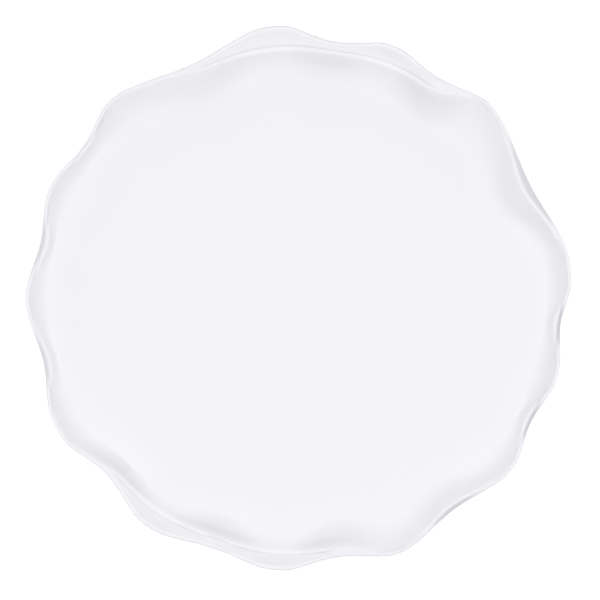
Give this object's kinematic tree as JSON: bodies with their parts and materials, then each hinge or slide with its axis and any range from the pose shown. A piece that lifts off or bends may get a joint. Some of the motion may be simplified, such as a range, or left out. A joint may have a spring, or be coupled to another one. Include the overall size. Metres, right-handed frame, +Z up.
{
  "type": "dinner plate",
  "caption": "Round white glazed ceramic dinner plate with a flat well, a ruffled rim that rolls over outward in its dips and is folded flat in two stretches, and a bare foot ring underneath.",
  "frame": {"origin": "on the table under the middle of the plate, at the level of the foot ring", "axes": "+Z up out of the well, square to the table; +X and +Y lie in the table, +Y toward the top edge of the picture"},
  "size_m": [0.2761, 0.2749, 0.0184],
  "materials": {
    "bare_ceramic": "fired, unglazed and finely ground where it shows on the foot ring",
    "white_glaze": "glossy cool white glaze"
  },
  "bodies": {
    "root": {"ceramic_body": "bare_ceramic", "glaze_coat": "white_glaze", "base_glaze": "white_glaze"}
  },
  "joints": []
}
